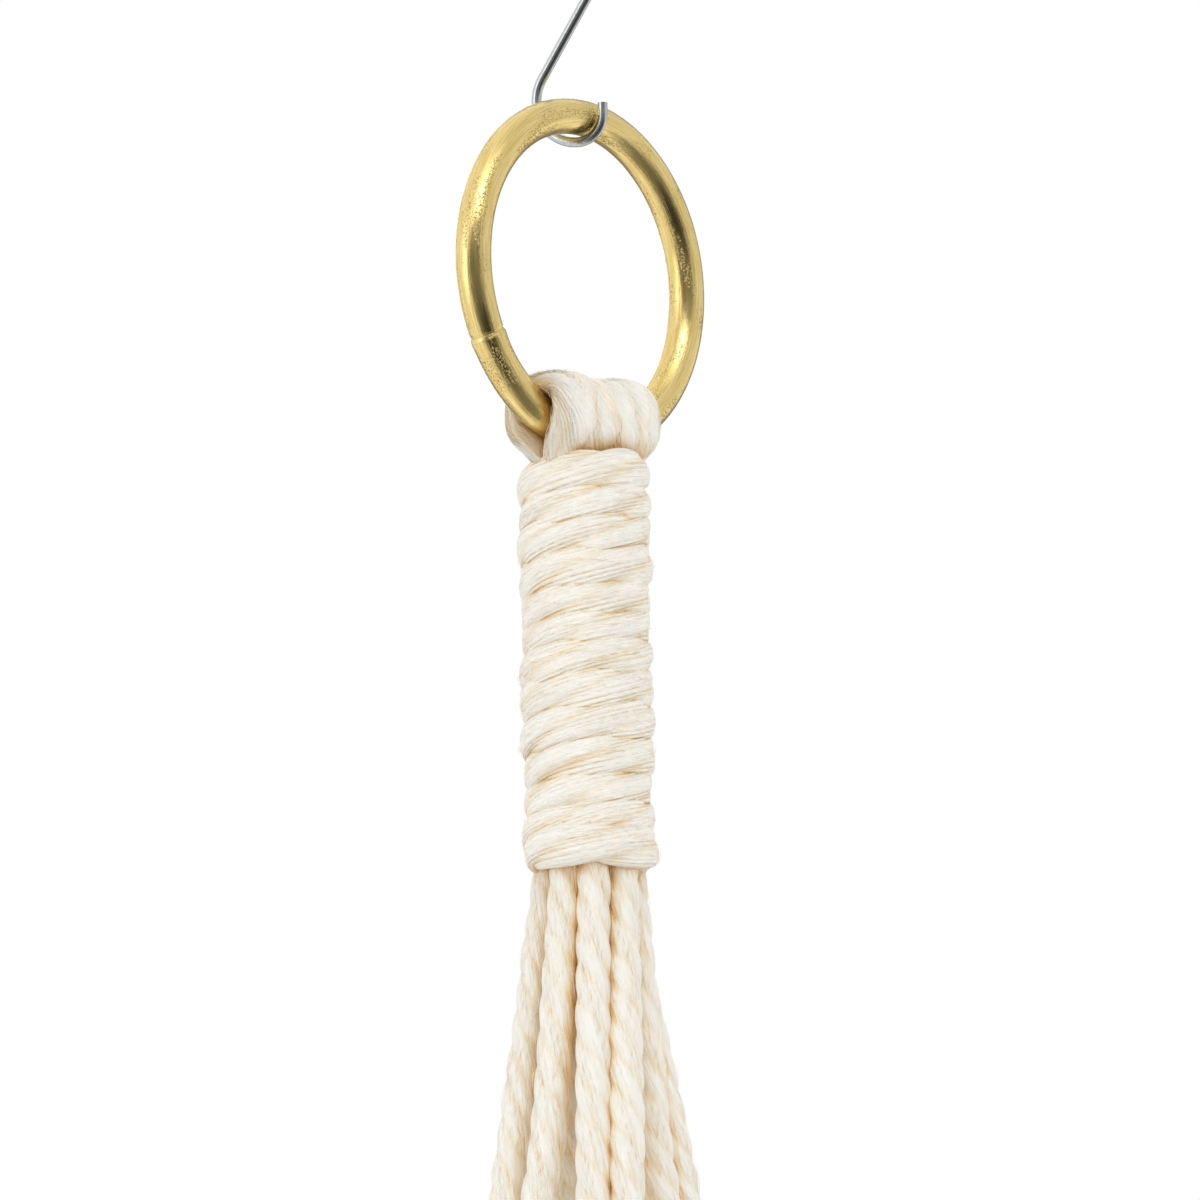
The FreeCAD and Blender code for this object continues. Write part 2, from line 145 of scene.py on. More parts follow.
def end_fans(rows, columns):
    """Triangles that close both ends of a tube onto the two vertices that follow its own."""
    last = (rows - 1) * columns
    return np.concatenate([fan(np.arange(columns), rows * columns, False),
                           fan(np.arange(last, last + columns), rows * columns + 1, True)])


# ---------------------------------------------------------------- routes


def smooth_route(points):
    """Points along the smooth NURBS line that has these control points."""
    curve = bpy.data.curves.new("route", "CURVE")
    curve.dimensions = "3D"
    curve.resolution_u = 32
    spline = curve.splines.new("NURBS")
    spline.points.add(len(points) - 1)
    for place, point in zip(spline.points, points):
        place.co = (*point, 1)
    spline.order_u = 3
    spline.use_endpoint_u = True
    holder = bpy.data.objects.new("route", curve)
    line = bpy.data.meshes.new_from_object(holder)
    found = np.array([vertex.co for vertex in line.vertices])
    bpy.data.objects.remove(holder)
    bpy.data.curves.remove(curve)
    bpy.data.meshes.remove(line)
    return found


def lengths_along(path):
    """How far along the line each of its points is."""
    steps = np.linalg.norm(np.diff(path, axis=0), axis=1)
    return np.concatenate([[0], np.cumsum(steps)])


def evenly(path, step):
    """The same line with evenly spaced points."""
    along = lengths_along(path)
    marks = np.linspace(0, along[-1], max(4, round(along[-1] / step) + 1))
    return np.stack([np.interp(marks, along, path[:, axis]) for axis in range(3)], axis=-1)


def unit(vectors):
    """The same directions at length 1."""
    return vectors / np.linalg.norm(vectors, axis=-1, keepdims=True)


def around(azimuth, out, aside, z):
    """A point at an azimuth, a distance out from the axis, a sideways offset and a height."""
    turn = math.radians(azimuth)
    return np.array((out * math.cos(turn) - aside * math.sin(turn),
                     out * math.sin(turn) + aside * math.cos(turn), z))


# ---------------------------------------------------------------- cord


def drifting(rng, along, reach, low, high):
    """A random value that drifts smoothly along a cord."""
    marks = np.arange(-reach, along[-1] + 2 * reach, reach)
    values = np.convolve(rng.uniform(low, high, len(marks) + 2), (0.25, 0.5, 0.25), "valid")
    return np.interp(along, marks, values)


def ply_profile(rng, along, theta, lay, grooves, loose):
    """Three plies twisted round each other: the section's scale, and how far into a groove it is."""
    twist = 2 * math.pi * along / lay + rng.uniform(0, 6) + drifting(rng, along, 20 * MM, -0.6, 0.6)
    ply = theta + twist[:, None] + 0.12 * np.sin(2 * theta + drifting(rng, along, 4 * MM, -4, 4)[:, None])
    groove = (1 - np.cos(3 * ply)) / 2
    depth = (grooves + 0.25 * loose) * drifting(rng, along, 7 * MM, 0.7, 1.2)
    return 1 - depth[:, None] * (0.45 * groove + 0.55 * groove ** 3), groove ** 5


def yarn_relief(rng, along, fibres, yarns):
    """Yarns bunched unevenly round a cord: broad ridges, and the narrow valleys between the yarns."""
    ridges = 0
    for wave in (2, 3, 5, 8):
        strength = drifting(rng, along, 6 * MM, 0.1, 1.0)[:, None]
        wander = drifting(rng, along, 8 * MM, -1.0, 1.0)[:, None] + rng.uniform(0, 6)
        ridges = ridges + strength * np.cos(wave * fibres + wander)
    ridges = ridges / 2
    parted = 0.6 + 0.4 * np.cos(4 * fibres + drifting(rng, along, 4 * MM, -3, 3)[:, None])
    valleys = (1 - np.abs(np.sin(yarns / 2 * fibres + 1.3 * ridges))) ** 1.5 * parted
    return ridges, valleys


def cord_surface(path, side, rng, width=CORD, thick=None, grooves=0.2, size=None, lay=LAY,
                 fibre_lay=FIBRE_LAY, roughness=0.05, fray=None, step=STEP, fuzz=0.5, flat=0.0, square=1.0,
                 yarns=YARNS, columns=COLUMNS):
    """The surface of a three-ply S-twisted cotton cord along a path.

    side is the direction, one or per point, that thick is measured in; width is across it. grooves is how
    deep the plies stand apart and roughness how deep the yarns do. size scales the cord along its length
    and fray loosens it, both over the share of the length. fuzz is how many loose fibres stand out of each
    millimetre, and yarns is how many yarns show round the cord. flat presses the face that looks away from
    side, up to 1 for quite flat. square is the power that shapes the section, 1 for an ellipse and less
    for a rounded rectangle.
    """
    path = evenly(path, step)
    along = lengths_along(path)
    share = along / along[-1]
    tangent = unit(np.gradient(path, axis=0))
    side = np.broadcast_to(side, path.shape) if isinstance(side, np.ndarray) else side(path)
    normal = unit(side - (side * tangent).sum(axis=1, keepdims=True) * tangent)
    across = np.cross(tangent, normal)
    loose = np.zeros(len(path)) if fray is None else fray(share)
    theta = np.linspace(0, 2 * math.pi, columns, endpoint=False)[None, :]
    profile, groove = ply_profile(rng, along, theta, lay, grooves, loose)
    fibres = theta + (2 * math.pi * along / fibre_lay)[:, None]
    ridges, valleys = yarn_relief(rng, along, fibres, yarns)
    lumps = drifting(rng, along, 5 * MM, 0.96, 1.04) * (1 if size is None else size(share))
    texture = roughness * (1 + 4 * loose[:, None]) * (0.4 * ridges - 1.3 * valleys + 0.3)
    radius = profile * (1 + texture) * lumps[:, None]

    half_thick, half_width = (thick or width) / 2, width / 2
    cos, sin = (np.sign(wave) * np.abs(wave) ** square for wave in (np.cos(theta), np.sin(theta)))
    cos = (radius * cos - flat * lumps[:, None] * sin ** 2) * half_thick
    sin = radius * sin * half_width
    surface = path[:, None, :] + cos[..., None] * normal[:, None, :] + sin[..., None] * across[:, None, :]
    fibre_place = np.stack([np.cos(fibres) * half_width / MM, np.sin(fibres) * half_width / MM,
                            np.broadcast_to(along[:, None] / MM, fibres.shape)], axis=-1)

    hair, hair_quads, roots = loose_fibres(surface, path, rng, int(fuzz * along[-1] / MM), step)
    tube = np.concatenate([surface.reshape(-1, 3), path[[0, -1]]])
    fibre_place = np.concatenate([fibre_place.reshape(-1, 3), fibre_place[[0, -1], 0]])
    bare = np.zeros(len(hair))
    return {"vertices": np.concatenate([tube, hair]),
            "quads": np.concatenate([grid_quads(len(path), columns), hair_quads + len(tube)]),
            "triangles": end_fans(len(path), columns),
            # groove and low also set the cotton's painted shade; the two end-cap centres get fixed values.
            "groove": np.concatenate([groove.ravel(), [0.8, 0.8], bare]),
            "low": np.concatenate([valleys.ravel(), [0.5, 0.5], bare]),
            "fibre": np.concatenate([fibre_place, fibre_place[roots]]),
            "path": path, "length": along[-1]}


def loose_fibres(surface, path, rng, count, step):
    """Fine fibres that lift off a cord: vertices, quads and the surface vertex that each grows from."""
    rows, columns = surface.shape[:2]
    links, girth = 5, 3
    row, column = rng.integers(0, rows, count), rng.integers(0, columns, count)
    reach = np.clip(rng.uniform(2, 6, count) * MM / step, 2, rows / 4) / (links - 1)
    heading = rng.choice((-1, 1), count)
    drift = rng.uniform(-2.2, 2.2, count)
    height = rng.uniform(0.12, 0.42, count) * MM
    vertices = []
    for link in range(links):
        share = link / (links - 1)
        at_row = np.clip(row + (heading * reach * link).astype(int), 0, rows - 1)
        at_column = (column + (drift * link).astype(int)) % columns
        spot = surface[at_row, at_column]
        outward = unit(spot - path[at_row])
        rise = height * math.sin(math.pi * (0.08 + 0.75 * share)) - 0.03 * MM
        spot = spot + outward * rise[:, None]
        sideways = unit(np.cross(outward, path[np.minimum(at_row + 1, rows - 1)] - path[at_row - 1] + 1e-9))
        thin = (0.036 - 0.02 * share) * MM
        for turn in np.linspace(0, 2 * math.pi, girth, endpoint=False):
            vertices.append(spot + (outward * math.cos(turn) + sideways * math.sin(turn)) * thin)
    vertices = np.stack(vertices, axis=1).reshape(-1, 3)
    base = np.arange(count) * links * girth
    quads = []
    for link in range(links - 1):
        near, far = base + link * girth, base + (link + 1) * girth
        for side in range(girth):
            after = (side + 1) % girth
            quads.append(np.stack([near + side, near + after, far + after, far + side], axis=-1))
    return vertices, np.concatenate(quads), np.repeat(row * columns + column, links * girth)


def cord_piece(name, surfaces, nodes):
    """One piece made of one or more cord surfaces, standing for its CAD nodes."""
    starts = np.cumsum([0] + [len(part["vertices"]) for part in surfaces[:-1]])
    joined = {key: np.concatenate([part[key] for part in surfaces])
              for key in ("vertices", "groove", "low", "fibre")}
    quads = np.concatenate([part["quads"] + start for part, start in zip(surfaces, starts)])
    triangles = np.concatenate([part["triangles"] + start for part, start in zip(surfaces, starts)])
    attributes = {"groove": ("FLOAT", joined["groove"]), "low": ("FLOAT", joined["low"]),
                  "fibre": ("FLOAT_VECTOR", joined["fibre"])}
    piece = new_piece(name, joined["vertices"], quads, triangles, COTTON, "hanger", attributes)
    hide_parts(*nodes)
    return piece


# ---------------------------------------------------------------- materials


class Shader:
    """Short ways to add and link the nodes of one material."""

    def __init__(self, name):
        self.material = bpy.data.materials.new(name)
        self.material.use_nodes = True
        self.tree = self.material.node_tree
        self.surface = self.tree.nodes["Principled BSDF"]

    def add(self, kind, inputs=None, **settings):
        """A new node with these settings, its inputs set or linked."""
        node = self.tree.nodes.new(kind)
        for key, setting in settings.items():
            setattr(node, key, setting)
        for key, source in (inputs or {}).items():
            self.put(node.inputs[key], source)
        return node

    def put(self, socket, source):
        """Links a node or socket to the socket, or sets a plain value on it."""
        if isinstance(source, bpy.types.Node):
            source = source.outputs[0]
        if isinstance(source, bpy.types.NodeSocket):
            self.tree.links.new(source, socket)
        else:
            socket.default_value = source

    def set(self, **inputs):
        """Inputs of the surface shader, with underscores for the spaces in their names."""
        for key, source in inputs.items():
            self.put(self.surface.inputs[key.replace("_", " ")], source)

    def noise(self, vector, scale, detail=3.0, roughness=0.5):
        return self.add("ShaderNodeTexNoise", {"Vector": vector, "Scale": scale, "Detail": detail,
                                               "Roughness": roughness})

    def ramp(self, factor, *stops):
        """A colour ramp of (position, grey level or colour) stops."""
        node = self.add("ShaderNodeValToRGB", {"Fac": factor})
        elements = node.color_ramp.elements
        while len(elements) < len(stops):
            elements.new(0.5)
        for element, (position, colour) in zip(elements, stops):
            element.position = position
            element.color = (*colour, 1) if hasattr(colour, "__len__") else (colour, colour, colour, 1)
        return node

    def mix(self, factor, first, second, blend="MIX"):
        node = self.add("ShaderNodeMix", data_type="RGBA", blend_type=blend)
        self.put(node.inputs[0], factor)
        self.put(node.inputs[6], first)
        self.put(node.inputs[7], second)
        return node.outputs[2]

    def math(self, operation, *sources):
        node = self.add("ShaderNodeMath", operation=operation)
        for socket, source in zip(node.inputs, sources):
            self.put(socket, source)
        return node.outputs[0]

    def stretched(self, vector, scale):
        return self.add("ShaderNodeMapping", {"Vector": vector, "Scale": scale})

    def bump(self, height, distance, strength=1.0):
        return self.add("ShaderNodeBump", {"Height": height, "Distance": distance, "Strength": strength})


def cotton_material():
    """Undyed cotton: cream fibres, with painted golden-tan shade where they lie deep between plies and cords
    and in the valleys between yarns, and random warm patches.
    """
    shader = Shader("cotton")
    fibre = shader.add("ShaderNodeAttribute", attribute_name="fibre").outputs["Vector"]
    groove = shader.add("ShaderNodeAttribute", attribute_name="groove").outputs["Fac"]
    low = shader.add("ShaderNodeAttribute", attribute_name="low").outputs["Fac"]
    bundles = shader.noise(shader.stretched(fibre, (1, 1, 0.09)), 2.6, 3.0, 0.55)
    hairs = shader.noise(shader.stretched(fibre, (1, 1, 0.06)), 6.0, 3.0, 0.6)
    breaks = shader.noise(shader.stretched(fibre, (1, 1, 0.35)), 1.3, 2.0)
    patches = shader.noise(shader.stretched(fibre, (1, 1, 0.4)), 0.3, 2.0)
    # Ambient occlusion over 2.5 mm and 18 mm: how closely other cords, plies and parts hem the surface in.
    # It drives the painted shade below.
    near = shader.add("ShaderNodeAmbientOcclusion", {"Distance": 2.5 * MM}, samples=6).outputs["AO"]
    far = shader.add("ShaderNodeAmbientOcclusion", {"Distance": 18 * MM}, samples=6).outputs["AO"]
    # Painted shade in the narrow valleys between yarns, broken into short streaks, with thin random fibre
    # streaks added.
    valley_shade_and_fibre_streaks = shader.math("MULTIPLY", shader.ramp(low, (0.15, 0.0), (0.75, 1.0)),
                        shader.ramp(breaks, (0.4, 0.15), (0.6, 1.0)))
    valley_shade_and_fibre_streaks = shader.math("ADD", valley_shade_and_fibre_streaks, shader.ramp(hairs, (0.36, 0.45), (0.48, 0.0)))
    # Painted shade where cords touch, in the ply grooves and in wider recesses.
    painted_contact_shade = shader.math("SUBTRACT", 1.0, near)
    painted_recess_shade = shader.math("SUBTRACT", 1.0, far)
    deep = shader.math("MULTIPLY_ADD", painted_contact_shade, 0.7, shader.math("MULTIPLY", groove, 0.28))
    deep = shader.math("MULTIPLY_ADD", shader.math("POWER", painted_recess_shade, 1.6), 0.75, deep)
    # depth is the amount of painted shade, from the yarn valleys, the contacts, the grooves and the
    # recesses.
    depth = shader.math("MULTIPLY_ADD", valley_shade_and_fibre_streaks, shader.math("MULTIPLY_ADD", deep, 0.35, 0.21),
                        shader.math("MULTIPLY", deep, 0.62))
    # Ramp from cream, where the cotton lies open, to golden tan; the tan is painted shade.
    tone_and_painted_shade = shader.ramp(depth, (0.03, (0.95, 0.935, 0.885)), (0.2, (0.95, 0.9, 0.79)),
                        (0.42, (0.95, 0.81, 0.585)), (0.8, (0.98, 0.66, 0.3)))
    # The warm patches are the cotton's own uneven tone, laid over the painted shade.
    warmth = shader.ramp(patches, (0.35, 0.0), (0.75, 0.25))
    tone_and_painted_shade = shader.mix(warmth, tone_and_painted_shade, (0.97, 0.93, 0.84, 1), "MULTIPLY")
    height = shader.math("ADD", shader.math("MULTIPLY", bundles, 0.7), shader.math("MULTIPLY", hairs, 0.6))
    shader.set(Base_Color=tone_and_painted_shade, Roughness=0.9, Normal=shader.bump(height, 0.45 * MM), Sheen_Weight=0.15,
               Sheen_Roughness=0.5, Specular_IOR_Level=0.15)
    return shader.material


def brass_material():
    """Polished brass with long fine scratches, clusters of small pits and a little tarnish."""
    shader = Shader("brass")
    place = shader.add("ShaderNodeAttribute", attribute_name="tube").outputs["Vector"]
    streaks = shader.noise(shader.stretched(place, (0.05, 1, 1)), 3.0, 5.0, 0.65)
    fine = shader.noise(shader.stretched(place, (0.02, 1, 1)), 14.0, 3.0, 0.6)
    cloud = shader.noise(shader.stretched(place, (0.12, 0.5, 0.5)), 1.0, 3.0)
    grains = shader.noise(place, 3.2, 4.0, 0.7)
    pits = shader.math("MULTIPLY", shader.ramp(cloud, (0.5, 0.0), (0.62, 1.0)),
                       shader.ramp(grains, (0.36, 1.0), (0.46, 0.0)))
    worn = shader.ramp(streaks, (0.35, 0.0), (0.65, 1.0))
    tint = shader.mix(worn, (0.9, 0.72, 0.33, 1), (0.74, 0.56, 0.2, 1))
    tint = shader.mix(shader.ramp(fine, (0.52, 0.0), (0.68, 0.5)), tint, (0.5, 0.35, 0.1, 1))
    tint = shader.mix(shader.math("MULTIPLY", pits, 0.6), tint, (0.3, 0.22, 0.08, 1))
    rough = shader.ramp(streaks, (0.3, 0.1), (0.7, 0.22))
    height = shader.math("ADD", shader.math("MULTIPLY", fine, 0.25), shader.math("MULTIPLY", streaks, 0.8))
    height = shader.math("SUBTRACT", height, shader.math("MULTIPLY", pits, 0.9))
    shader.set(Base_Color=tint, Roughness=rough, Metallic=1.0, Normal=shader.bump(height, 0.07 * MM, 0.8))
    return shader.material


def steel_material():
    """Bright drawn steel wire with faint lines along it."""
    shader = Shader("steel")
    place = shader.add("ShaderNodeNewGeometry").outputs["Position"]
    lines = shader.noise(shader.stretched(place, (4, 4, 0.6)), 900.0, 3.0)
    tint = shader.mix(lines, (0.6, 0.62, 0.64, 1), (0.44, 0.46, 0.49, 1))
    rough = shader.ramp(lines, (0.3, 0.12), (0.7, 0.28))
    shader.set(Base_Color=tint, Roughness=rough, Metallic=1.0, Normal=shader.bump(lines, 0.02 * MM, 0.3))
    return shader.material


def terracotta_material():
    """Unglazed fired clay: fine throwing lines, grit, paler bloom and darker damp patches."""
    shader = Shader("terracotta")
    place = shader.add("ShaderNodeNewGeometry").outputs["Position"]
    clouds = shader.noise(place, 14.0, 5.0, 0.55)
    bloom = shader.noise(shader.stretched(place, (1, 1, 0.45)), 38.0, 6.0, 0.65)
    grit = shader.noise(place, 900.0, 4.0, 0.7)
    lines = shader.noise(shader.stretched(place, (2.5, 2.5, 420)), 1.0, 3.0, 0.5)
    clay = shader.ramp(clouds, (0.3, (0.5, 0.215, 0.115)), (0.55, (0.6, 0.275, 0.155)),
                       (0.75, (0.66, 0.33, 0.2)))
    pale = shader.ramp(bloom, (0.52, 0.0), (0.72, 0.45))
    clay = shader.mix(pale, clay, (0.78, 0.58, 0.45, 1))
    specks = shader.ramp(grit, (0.3, 0.5), (0.42, 0.0))
    clay = shader.mix(specks, clay, (0.36, 0.15, 0.08, 1))
    height = shader.math("ADD", shader.math("MULTIPLY", lines, 0.8), shader.math("MULTIPLY", grit, 0.35))
    shader.set(Base_Color=clay, Roughness=0.88, Specular_IOR_Level=0.25,
               Normal=shader.bump(height, 0.25 * MM, 0.7))
    return shader.material


def floor_material():
    """Pale matt floor, very slightly uneven in tone."""
    shader = Shader("pale_floor")
    place = shader.add("ShaderNodeNewGeometry").outputs["Position"]
    shade = shader.mix(shader.noise(place, 0.7), (0.86, 0.86, 0.85, 1), (0.89, 0.89, 0.88, 1))
    shader.set(Base_Color=shade, Roughness=0.9)
    return shader.material


COTTON = cotton_material()
BRASS = brass_material()
STEEL = steel_material()
TERRACOTTA = terracotta_material()


# ---------------------------------------------------------------- ring and hook


def make_ring():
    """The brass ring, bent from rod, with the step and fine gap of its butt seam."""
    rows, columns = 720, 72
    # Where the seam is round the ring, and how far its gap and its flared end reach, in radians.
    seam, seam_gap, seam_flare = math.radians(208), 0.012, 0.09
    angle = np.linspace(0, 2 * math.pi, rows, endpoint=False) + seam
    past = np.minimum(angle - seam, 2 * math.pi - (angle - seam))
    first_side = angle - seam < math.pi
    swell = np.where(first_side, 0.05, -0.012) * np.exp(-(past / seam_flare) ** 2)
    gap = -0.09 * np.exp(-(past / seam_gap) ** 2)
    rng = np.random.default_rng(11)
    waves = sum(rng.uniform(-1, 1) * np.cos(k * angle + rng.uniform(0, 6)) for k in range(3, 12))
    tube = RING_TUBE * (1 + swell + gap + 0.0015 * waves)
    theta = np.linspace(0, 2 * math.pi, columns, endpoint=False)
    out = np.stack([np.cos(angle), np.zeros(rows), np.sin(angle)], axis=-1)
    spot = RING_CENTRE + out * RING_RADIUS
    vertices = (spot[:, None, :] + (tube[:, None] * np.cos(theta))[..., None] * out[:, None, :]
                + (tube[:, None] * np.sin(theta))[..., None] * np.array((0, 1.0, 0)))
    row, column = np.meshgrid(np.arange(rows), np.arange(columns), indexing="ij")
    next_row, next_column = (row + 1) % rows, (column + 1) % columns
    corners = (row * columns + column, next_row * columns + column,
               next_row * columns + next_column, row * columns + next_column)
    quads = np.stack(corners, axis=-1).reshape(-1, 4)
    distance = np.broadcast_to((angle * RING_RADIUS / MM)[:, None], (rows, columns))
    place = np.stack([distance, np.cos(theta) * RING_TUBE / MM + 0 * distance,
                      np.sin(theta) * RING_TUBE / MM + 0 * distance], axis=-1)
    piece = new_piece("ring_of_brass", vertices.reshape(-1, 3), quads, None, BRASS, "ring",
                      {"tube": ("FLOAT_VECTOR", place.reshape(-1, 3))})
    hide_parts("brass_ring")


def finish_hook():
    """The hook keeps its CAD shape and gets its wire's look."""
    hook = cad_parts["s_hook"]
    hook.data.materials.clear()
    hook.data.materials.append(STEEL)


# ---------------------------------------------------------------- cotton hanger


# The four folded cords: offset along the ring's limb, thickness and slack over the limb, in millimetres.
FOLDS = ((-6.2, 4.0, 0.2), (-2.1, 4.15, 0.3), (1.9, 4.15, 0.4), (5.9, 4.05, 0.45))


def make_loops():
    """Four cords over the ring's lowest limb, squeezed into one band and drawn in below it."""
    rng = np.random.default_rng(21)
    top = wrap_high.z
    for number, (offset, thick, slack) in enumerate(FOLDS, start=1):
        x = offset * MM
        limb = RING_CENTRE[2] - math.sqrt(RING_RADIUS ** 2 - x ** 2)
        reach = RING_TUBE + thick * MM / 2 + 0.15 * MM
        crown = limb + slack * MM
        # The legs fill the round inside of the wrap, so the outer cords' legs lie closer together.
        inside = 3.5 * MM - 30 * x ** 2
        halves = []
        for side in (-1, 1):
            halves.append([
                (x * 0.5, side * inside, top - 14 * MM),
                (x * 0.6, side * inside, top - 8 * MM),
                (x * 0.8, side * inside, top - 3.4 * MM),
                (x * 0.97, side * 2.2 * MM, limb - 3.7 * MM),
                (x, side * reach * 0.95, limb - 1.2 * MM),
                (x, side * reach * 1.03, limb + 0.1 * reach),
                (x, side * reach, crown + 0.74 * reach),
                (x, side * reach * 0.62, crown + 1.12 * reach),
            ])
        from_limb = lambda line: line * (0, 1, 1) - UP * (limb - 0.01 * MM)
        drawn_in = lambda share: np.interp(share, (0, 0.24, 0.33, 0.67, 0.76, 1),
                                           (0.64, 0.8, 1, 1, 0.8, 0.64))
        surface = cord_surface(smooth_route(halves[0] + halves[1][::-1]), from_limb, rng, width=8.8 * MM,
                               thick=thick * MM, grooves=0.03, roughness=0.08, lay=60 * MM,
                               fibre_lay=30 * MM, size=drawn_in, step=0.3 * MM, fuzz=3, flat=0.2,
                               square=0.8, yarns=34, columns=160)
        cord_piece(f"folded_cord_{number}", [surface], [f"cord_loop_{number}"])


def make_wrap(name, low, high, turns, seed, nodes):
    """A cord wound tightly round the strands, pressed flat, its turns uneven and its ends tucked in."""
    rng = np.random.default_rng(seed)
    mid_radius, tuck_depth, margin = 7.45 * MM, 2.6 * MM, 2.8 * MM
    first_angle, points_per_turn = math.radians(100), 90
    turn = np.linspace(0, turns, round(turns * points_per_turn))
    swell = drifting(rng, turn, 0.45, -0.6, 0.5) * MM
    lift = drifting(rng, turn, 0.9, -0.6, 0.6) * MM
    tuck = np.clip(np.minimum(turn, turns - turn) / 0.16, 0, 1)
    lowest_turn = np.clip(1.3 - turn, 0, 1)
    radius = mid_radius + swell - (1 - tuck) * tuck_depth + lowest_turn * 0.4 * MM
    angle = 2 * math.pi * turn + first_angle
    climb = np.clip((turn - 0.6) / (turns - 1.1), 0, 1)
    height = low.z + margin + climb * (high.z - low.z - 2 * margin) + lift * tuck * (1 - lowest_turn)
    path = np.stack([radius * np.cos(angle), radius * np.sin(angle), height], axis=-1)
    surface = cord_surface(path, lambda line: line * (1, 1, 0), rng, width=6.5 * MM, thick=3.8 * MM,
                           grooves=0.2, roughness=0.11, lay=32 * MM, fibre_lay=80 * MM, step=0.45 * MM,
                           fuzz=1.5, yarns=26, columns=128)
    cord_piece(name, [surface], nodes)


# Where each strand is just below the gathering wrap: (out, aside) in millimetres at the wrap's lower
# edge, 22 mm and 46 mm below it. Further down, each pair runs side by side.
ARM_STARTS = {
    "1a": ((5.5, -0.4), (8.4, -1.2), (11.4, -1.6)),
    "1b": ((4.4, 3.6), (7.0, 3.5), (10.2, 3.2)),
    "2a": ((5.5, -1.5), (8.6, -1.8), (12.0, -1.8)),
    "2b": ((3.5, 3.7), (5.0, 4.3), (7.3, 3.9)),
    "3a": ((5.2, 0.2), (7.6, -0.3), (9.8, -0.7)),
    "3b": ((3.4, 4.4), (6.8, 3.9), (10.6, 3.8)),
    "4a": ((5.6, 1.0), (7.0, -0.9), (8.6, -1.4)),
    "4b": ((3.6, 4.6), (8.2, 3.6), (12.6, 2.8)),
}


def make_arms():
    """Eight strands, loose below the wrap, then tight in pairs to the rim and down to the rim knots."""
    rng = np.random.default_rng(31)
    bottom = wrap_low.z
    slope = (RIM_CORD - WRAP_CORD) / (bottom - RIM_Z)
    for number, azimuth in enumerate(ARM_AZIMUTHS, start=1):
        knot = node_centre(f"rim_knot_{number}")
        for letter, side in (("a", -PAIR_OFFSET), ("b", PAIR_OFFSET)):
            label = f"{number}{letter}"
            (out0, aside0), (out1, aside1), (out2, aside2) = np.array(ARM_STARTS[label]) * MM
            points = [around(azimuth, out0 * 0.7, aside0 * 0.7, bottom + 14 * MM),
                      around(azimuth, out0 * 0.85, aside0 * 0.85, bottom + 6 * MM),
                      around(azimuth, out0, aside0, bottom),
                      around(azimuth, out1, aside1, bottom - 22 * MM),
                      around(azimuth, out2, aside2, bottom - 46 * MM)]
            for drop in (90 * MM, 150 * MM):
                points.append(around(azimuth, WRAP_CORD + slope * drop, side * 1.05, bottom - drop))
            points += [around(azimuth, RIM_CORD - slope * 40 * MM, side, RIM_Z + 40 * MM),
                       around(azimuth, RIM_CORD, side, RIM_Z + 4 * MM),
                       around(azimuth, RIM_CORD, side, RIM_Z - 15 * MM),
                       around(azimuth, RIM_CORD, side * 0.8, knot[2])]
            squeezed = lambda share: np.interp(share, (0, 0.022, 0.07), (0.8, 0.96, 1.07))
            surface = cord_surface(smooth_route(points), around(azimuth, 0, 1, 0), rng, size=squeezed,
                                   grooves=0.13, roughness=0.07, fuzz=1.2)
            cord_piece(f"arm_cord_{label}", [surface], [f"arm_strand_{label}"])


def make_knot(name, node, azimuth, seed):
    """A tight overhand knot of two cords: a doubled turn round the pair, with its ends drawn in."""
    rng = np.random.default_rng(seed)
    centre = node_centre(node)
    out, aside = around(azimuth, 1, 0, 0), around(azimuth, 0, 1, 0)
    surfaces = []
    turns, rise = 1.45, 9 * MM
    core_radius, coil_radius = 1.8 * MM, 5.5 * MM
    for cord in (-1, 1):
        turn = np.linspace(0, turns, 150)
        tuck = np.clip(np.minimum(turn, turns - turn) / 0.2, 0, 1)
        tuck = tuck * tuck * (3 - 2 * tuck)
        radius = core_radius + (coil_radius - core_radius) * tuck
        angle = 2 * math.pi * (turn - turns / 2) + math.pi + rng.uniform(-0.3, 0.3)
        height = (turn / turns - 0.5) * rise + cord * rise / turns / 4 + 0.5 * MM * np.cos(angle)
        path = (centre + (radius * np.cos(angle))[:, None] * out + (radius * np.sin(angle))[:, None] * aside
                + height[:, None] * UP)
        from_middle = lambda line: (line - centre) * (1, 1, 0) + 1e-6 * out
        surfaces.append(cord_surface(path, from_middle, rng, width=4.5 * MM, thick=4.4 * MM,
                                     roughness=0.06, fuzz=1))
    cord_piece(name, surfaces, [node])


def make_net():
    """The strands that cross from the rim knots to the side knots, close round the pot's wall."""
    rng = np.random.default_rng(41)
    for number, azimuth in enumerate(ARM_AZIMUTHS, start=1):
        for letter, side in (("a", -1), ("b", 1)):
            lower = (number - 1 + (side > 0)) % len(SIDE_AZIMUTHS)
            upper_knot, lower_knot = node_centre(f"rim_knot_{number}"), node_centre(f"side_knot_{lower + 1}")
            start = around(azimuth, np.hypot(*upper_knot[:2]), side * PAIR_OFFSET, upper_knot[2] - 1 * MM)
            end = around(SIDE_AZIMUTHS[lower], np.hypot(*lower_knot[:2]), -side * PAIR_OFFSET,
                         lower_knot[2] + 1 * MM)
            points = [start, start * 0.75 + end * 0.25 - UP * 1.2 * MM,
                      start * 0.45 + end * 0.55 - UP * 0.6 * MM, end]
            surface = cord_surface(smooth_route(points), unit(start * (1, 1, 0) + end * (1, 1, 0)), rng)
            cord_piece(f"net_cord_{number}{letter}", [surface], [f"net_strand_{number}{letter}"])


